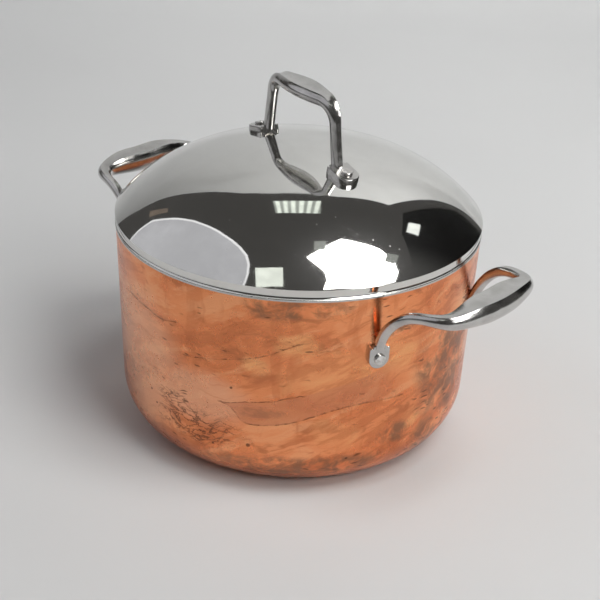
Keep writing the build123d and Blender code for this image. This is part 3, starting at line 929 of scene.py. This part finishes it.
def side_handle(name, turn):
    feet = side_feet()
    foot = feet[0]
    start = foot.translation
    half = [
        foot @ Vector((0, SIDE_ROOT_UP, SIDE_PAD[0] - PAD_SINK)),
        foot @ Vector((0, *SIDE_NECK)),
        Vector((start.x + SIDE_KNEE[0], SIDE_KNEE[1], start.z + SIDE_KNEE[2])),
        Vector((SIDE_REACH - SIDE_CORNER[0], SIDE_CORNER[1], start.z + SIDE_CORNER[2])),
        Vector((SIDE_REACH - SIDE_QUARTER[0], SIDE_QUARTER[1], start.z + SIDE_QUARTER[2])),
        Vector((SIDE_REACH, 0, start.z + SIDE_GRIP_RISE)),
    ]
    knots = half + [Vector((p.x, -p.y, p.z)) for p in reversed(half[:-1])]
    rise = (foot.to_3x3() @ Vector((0, 1, SIDE_NECK_LEAN))).normalized()
    path = smooth_path(knots, rise, Vector((-rise.x, rise.y, -rise.z)), BAR_ROWS)

    def upwards(tangent):
        way = np.array((0, 0, 1.0)) - tangent * tangent[2]
        return way / np.linalg.norm(way)

    return handle_piece(name, path, upwards, SIDE_BAR, feet, SIDE_PAD, turn)


def lid_feet(dome):
    """Frames of the lid handle's feet, with z out of the dome and y up along it."""
    height, slope = dome.at(TOP_RIVET_HALF_SPREAD)
    return [placed((side * TOP_RIVET_HALF_SPREAD, 0, height), (0, side, 0),
                   (side * math.sin(slope), 0, math.cos(slope))) for side in (1, -1)]


def lid_handle(name, turn):
    feet = lid_feet(Dome())
    root = feet[0] @ Vector((0, TOP_LEG_SETBACK, TOP_PAD[0] - PAD_SINK))
    bar_z = POT_HEIGHT + LID_RISE + TOP_GRIP_HEIGHT
    elbow = root.x - TOP_LEAN
    rise = math.atan2(bar_z - root.z, -TOP_LEAN)
    reach = TOP_CORNER_RADIUS * math.tan((math.pi - rise) / 2)
    leg_end = Vector((elbow - math.cos(rise) * reach, 0, bar_z - math.sin(rise) * reach))
    centre = (elbow - reach, bar_z - TOP_CORNER_RADIUS)
    half = [root.lerp(leg_end, share) for share in np.linspace(0, 1, ARCH_POINTS)]
    for a in np.linspace(rise - math.pi / 2, math.pi / 2, ARCH_POINTS)[1:]:
        x = centre[0] + TOP_CORNER_RADIUS * math.cos(a)
        half.append(Vector((x, 0, centre[1] + TOP_CORNER_RADIUS * math.sin(a))))
    half += [Vector((x, 0, bar_z)) for x in np.linspace(centre[0], 0, ARCH_POINTS)[1:]]
    points = half + [Vector((-p.x, 0, p.z)) for p in reversed(half[:-1])]
    path = even(np.array(points), BAR_ROWS)

    def outwards(tangent):
        return np.cross((0, 1.0, 0), tangent)

    return handle_piece(name, path, outwards, TOP_BAR, feet, TOP_PAD, turn)


def stand_for(made, node, body):
    """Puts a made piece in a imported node's place."""
    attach(made, body)
    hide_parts(node)


stand_for(copper_shell(), "copper_shell", "pot")
stand_for(steel_lining(), "steel_lining", "pot")
stand_for(lid_shell(), "lid_shell", "lid")
stand_for(side_handle("right_handle_cast", 0), "right_side_handle", "pot")
stand_for(side_handle("left_handle_cast", math.pi), "left_side_handle", "pot")
stand_for(lid_handle("lid_handle_cast", LID_TURN), "lid_handle", "lid")

for place, right, left in zip(side_feet(), ("rear", "front"), ("front", "rear")):
    stand_for(rivet_piece(f"right_{right}_rivet_turned", place, SIDE_PAD, WALL_THICKNESS, 0),
              f"right_handle_{right}_rivet", "pot")
    stand_for(rivet_piece(f"left_{left}_rivet_turned", place, SIDE_PAD, WALL_THICKNESS, math.pi),
              f"left_handle_{left}_rivet", "pot")
for place, side in zip(lid_feet(Dome()), ("right", "left")):
    stand_for(rivet_piece(f"lid_{side}_rivet_turned", place, TOP_PAD, LID_SHEET, LID_TURN),
              f"lid_handle_{side}_rivet", "lid")


# Room: a sweep of paper, and what the steel mirrors

SOFTBOX_LEVEL = 9
SIDE_LIGHT_LEVEL = 8
ROOM_LEVEL = 0.06
ROOM_COLOR = (1, 0.965, 0.92)

# Paper, measured away from the camera and to its right; its left edge slants, given as heights and places
PAPER_BACK = 1.45
PAPER_FRONT = -2.2
PAPER_RIGHT = 1.13
PAPER_TOP = 2.15
PAPER_BEND = 0.35
PAPER_LEFT_CUT = ((0.9, 1.07, 1.35, 1.63, 1.92, 2.15), (-1.57, -1.47, -1.34, -1.2, -0.94, -0.64))
PAPER_COLUMNS = 24
FLOOR_ROWS = 30
BEND_ROWS = 20
BACKDROP_ROWS = 12

# Cards, as seen from the lid
LID_MIDDLE = Vector((0, 0, 0.19))
CARD_DISTANCE = 1.5
LIGHT_DISTANCE = 3.0
RIM_DISTANCE = 1.52
SHELF_DISTANCE = 1.6
STAND_DISTANCE = 1.4
TUBES_PER_METRE = 16.5
REFLECTOR = (-80.0, 54.2)      # azimuth and elevation, as for the dark corner
DISC = [(-0.54, -1.12), (-0.56, -0.96), (-0.55, -0.71), (-0.45, -0.51), (-0.35, -0.31), (-0.25, -0.15),
        (-0.13, -0.01), (0.0, 0.12), (0.16, 0.25), (0.31, 0.35), (0.47, 0.43), (0.66, 0.46), (0.84, 0.44),
        (1.02, 0.39), (1.3, 0.22), (1.55, -0.1), (1.65, -0.6), (1.5, -1.2), (1.0, -1.7), (0.3, -1.8),
        (-0.3, -1.55)]
DISC_MIDDLE = (0.5, -0.65)
RIM_GROWTH = 0.035
DARK_CORNER = (53.1, 28.7)
DUSK_COLOR = (1, 0.98, 0.94)
DUSK_LEVEL = 0.008


def paper():
    """Floor that bends up into a backdrop."""
    outline = [(y, 0.0) for y in np.linspace(PAPER_FRONT, PAPER_BACK - PAPER_BEND, FLOOR_ROWS)]
    outline += [(PAPER_BACK - PAPER_BEND + PAPER_BEND * math.sin(a), PAPER_BEND - PAPER_BEND * math.cos(a))
                for a in np.linspace(0, math.pi / 2, BEND_ROWS)[1:]]
    outline += [(PAPER_BACK, z) for z in np.linspace(PAPER_BEND, PAPER_TOP, BACKDROP_ROWS)[1:]]
    points = []
    for away, height in outline:
        for side in np.linspace(np.interp(height, *PAPER_LEFT_CUT), PAPER_RIGHT, PAPER_COLUMNS):
            points.append(AWAY * away + SIDEWAYS * side + UP * height)
    faces = []
    for row in range(len(outline) - 1):
        for i in range(PAPER_COLUMNS - 1):
            low, high = row * PAPER_COLUMNS + i, (row + 1) * PAPER_COLUMNS + i
            faces.append((low, low + 1, high + 1, high))
    sheet = mesh_object("paper_sweep", points, faces, grey_paper())


def seen_from_lid(azimuth, elevation):
    """Direction: azimuth 0 is away from the camera, 90 to its right."""
    a, e = math.radians(azimuth), math.radians(elevation)
    return AWAY * (math.cos(a) * math.cos(e)) + SIDEWAYS * (math.sin(a) * math.cos(e)) + UP * math.sin(e)


def glow(name, color, strength, stripes=0):
    """Light of a card; stripes, in turns a metre from left to right, split it into bright tubes."""
    r = Recipe(name)
    level = r.step(r.noise(r.share_of_box, scale=2.5, detail=3), 0.3, 0.7, 0.88 * strength, 1.05 * strength)
    if stripes:
        side = r.apart(r.along(r.place, (SIDEWAYS, UP, AWAY)))[0]
        wave = r.math("SINE", r.math("MULTIPLY", side, 2 * math.pi * stripes))
        level = r.math("MULTIPLY", level, r.step(wave, -0.8, 0.5, 0.35, 1.0))
    return r.emit(color, level)


def corner_dusk():
    """Near black, fading to the room's level on the left."""
    r = Recipe("corner_dusk")
    right = UP.cross(seen_from_lid(*DARK_CORNER)).normalized()
    side = r.apart(r.along(r.place, (right, UP, AWAY)))[0]
    return r.emit(DUSK_COLOR, r.step(side, -1.0, -0.4, ROOM_LEVEL, DUSK_LEVEL))


def card(name, azimuth, elevation, corners, look, distance=CARD_DISTANCE):
    """Flat card square to the line from the lid; corners are (right, up) on it, in metres."""
    way = seen_from_lid(azimuth, elevation)
    right = UP.cross(way).normalized()
    up = way.cross(right)
    middle = LID_MIDDLE + way * distance
    points = [middle + right * x + up * y for x, y in corners]
    mesh_object(name, points, [tuple(range(len(points)))], look)


paper()
card("softbox", 117.9, 61.7,
     [(-0.54, 1.0), (0.5, 0.81), (0.82, -0.02), (0.78, -0.52), (0.64, -0.82), (0.38, -0.99), (-0.34, -0.72),
      (-1.21, -0.01), (-0.9, 0.14), (-0.72, 0.35), (-0.64, 0.7)],
     glow("softbox_light", (1, 0.99, 0.975), SOFTBOX_LEVEL), LIGHT_DISTANCE)
card("side_light", 140, 33, [(-0.75, -0.45), (0.75, -0.45), (0.75, 0.45), (-0.75, 0.45)],
     glow("side_light", (1, 0.995, 0.99), SIDE_LIGHT_LEVEL), LIGHT_DISTANCE)
card("ceiling_light", -1.6, 63.4, [(0.18, -0.05), (-0.17, -0.09), (-0.19, 0.21), (0.19, 0.24)],
     glow("tube_light", (0.93, 1, 0.91), strength=1.25, stripes=TUBES_PER_METRE))
card("left_window", -154.3, 62.5, [(-0.17, -0.03), (0.12, 0.10), (0.25, -0.20), (-0.05, -0.32)],
     glow("left_window_light", (0.95, 1, 0.92), strength=1.15))
card("right_window", 57.2, 43.4, [(-0.01, 0.02), (-0.02, -0.12), (-0.21, -0.05), (-0.17, 0.09)],
     glow("right_window_light", (0.97, 1, 0.96), strength=1.3))
card("faint_window", 106.8, 81.3, [(-0.05, 0.04), (0.01, -0.07), (-0.15, -0.13), (-0.21, -0.02)],
     glow("faint_window_light", (0.95, 1, 0.93), strength=0.35))
card("faint_shelf", 90.6, 52.2, [(-0.04, 0.03), (0.0, -0.12), (-0.17, -0.13), (-0.19, 0.01)],
     glow("faint_shelf_light", (0.95, 1, 0.93), strength=0.30), SHELF_DISTANCE)
card("reflector_disc", *REFLECTOR, DISC, glow("disc_light", (0.94, 0.945, 1), strength=0.63))
card("reflector_rim", *REFLECTOR,
     [(x + RIM_GROWTH * (x - DISC_MIDDLE[0]), y + RIM_GROWTH * (y - DISC_MIDDLE[1])) for x, y in DISC],
     glow("rim_light", (0.97, 0.975, 1), strength=1.2), RIM_DISTANCE)
card("stand", -50.3, 24.7, [(0.05, -0.03), (0.06, 0.20), (0.12, 0.22), (0.14, 0.0)],
     glow("stand_light", (1, 0.8, 0.65), strength=0.20), STAND_DISTANCE)
card("dark_corner", *DARK_CORNER,
     [(0.08, 0.43), (0.2, 0.01), (0.32, -0.39), (0.3, -0.9), (-0.4, -1.0), (-1.0, -0.1), (-1.05, 0.5),
      (-0.3, 0.58)], corner_dusk())

world = bpy.data.worlds.new("dark_room")
bpy.context.scene.world = world
world.use_nodes = True
background = world.node_tree.nodes["Background"]
background.inputs["Color"].default_value = (*ROOM_COLOR, 1)
background.inputs["Strength"].default_value = ROOM_LEVEL


# Camera

def camera():
    """Stands where the photographer's did, a little rolled."""
    back = -AWAY * math.cos(VIEW_ELEVATION) + UP * math.sin(VIEW_ELEVATION)
    above = AWAY * math.sin(VIEW_ELEVATION) + UP * math.cos(VIEW_ELEVATION)
    right = SIDEWAYS * math.cos(VIEW_ROLL) + above * math.sin(VIEW_ROLL)
    above = above * math.cos(VIEW_ROLL) - SIDEWAYS * math.sin(VIEW_ROLL)
    look = SIDEWAYS * LOOK_SIDE + UP * LOOK_HEIGHT
    place = look + back * VIEW_DISTANCE
    data = bpy.data.cameras.new("camera")
    data.sensor_width = SENSOR_WIDTH
    data.lens = SENSOR_WIDTH * FOCAL_SHARE
    made = bpy.data.objects.new("camera", data)
    bpy.context.scene.collection.objects.link(made)
    made.matrix_world = Matrix(((right.x, above.x, back.x, place.x), (right.y, above.y, back.y, place.y),
                                (right.z, above.z, back.z, place.z), (0, 0, 0, 1)))
    bpy.context.scene.camera = made


camera()
bpy.context.scene.view_settings.view_transform = "Standard"
